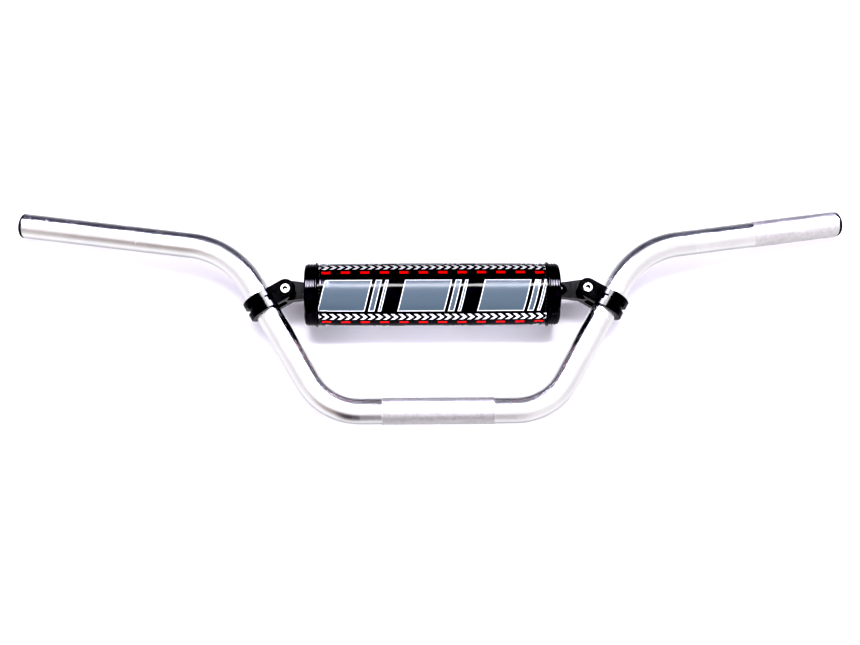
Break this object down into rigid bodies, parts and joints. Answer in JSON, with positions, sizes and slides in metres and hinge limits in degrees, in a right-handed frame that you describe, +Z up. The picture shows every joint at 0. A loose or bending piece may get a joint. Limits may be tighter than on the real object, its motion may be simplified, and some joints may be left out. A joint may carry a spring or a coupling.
{
  "type": "motorcycle handlebar",
  "caption": "Bent aluminium motorcycle handlebar with a clamp-on crossbar that carries a round padded cover.",
  "frame": {"origin": "middle of the centre section's axis, where the triple clamp holds the bar", "axes": "+X towards the rider's left grip, +Y towards the rider, +Z up along the rise"},
  "size_m": [0.7378, 0.0719, 0.1953],
  "materials": {
    "bar": "satin clear anodised, knurled at the centre and the left grip",
    "plug": "moulded black",
    "clamp": "gloss black anodised",
    "screw": "zinc plated",
    "nut": "zinc plated",
    "crossbar_tube": "black anodised",
    "crossbar_end": "gloss black anodised, milled",
    "bush": "turned bronze",
    "spring_pin": "spring steel",
    "pad_foam": "closed-cell foam",
    "pad_cover": "gloss vinyl, printed with plain panels and dashes",
    "pad_end": "gloss vinyl",
    "pad_piping": "smooth piping",
    "pad_closure": "woven hook-and-loop tape"
  },
  "bodies": {
    "handlebar": {"handlebar_tube": "bar", "end_plug_left": "plug", "end_plug_right": "plug"},
    "left_clamp": {"clamp_left": "clamp", "pivot_screw_left": "screw", "lock_nut_left": "nut"},
    "right_clamp": {"clamp_right": "clamp", "pivot_screw_right": "screw", "lock_nut_right": "nut"},
    "crossbar": {"crossbar_tube": "crossbar_tube", "crossbar_end_left": "crossbar_end", "crossbar_end_right": "crossbar_end", "pivot_bush_left": "bush", "pivot_bush_right": "bush", "spring_pin_left": "spring_pin", "spring_pin_right": "spring_pin"},
    "pad": {"pad_foam": "pad_foam", "pad_cover": "pad_cover", "pad_end_left": "pad_end", "pad_end_right": "pad_end", "pad_piping_left": "pad_piping", "pad_piping_right": "pad_piping", "pad_closure": "pad_closure"}
  },
  "joints": [
    {"name": "left_clamp_slide", "type": "slide", "parent": "handlebar", "child": "left_clamp", "axis": [0.5, 0, 0.866], "range_m": [-0.005, 0.005]},
    {"name": "right_clamp_slide", "type": "slide", "parent": "handlebar", "child": "right_clamp", "axis": [-0.5, 0, 0.866], "range_m": [-0.005, 0.005]},
    {"name": "crossbar_tilt", "type": "hinge", "parent": "left_clamp", "child": "crossbar", "pos_m": [0.12952, 0, 0.1042], "axis": [0, 1, 0], "range_deg": [-1.95, 1.95]},
    {"name": "pad_turn", "type": "hinge", "parent": "crossbar", "child": "pad", "pos_m": [0, 0, 0.1042], "axis": [1, 0, 0], "continuous": true}
  ],
  "couplings": [
    {"joint": "right_clamp_slide", "follows": "left_clamp_slide", "ratio": -1},
    {"joint": "crossbar_tilt", "follows": "left_clamp_slide", "rad_per_m": -6.6862}
  ]
}
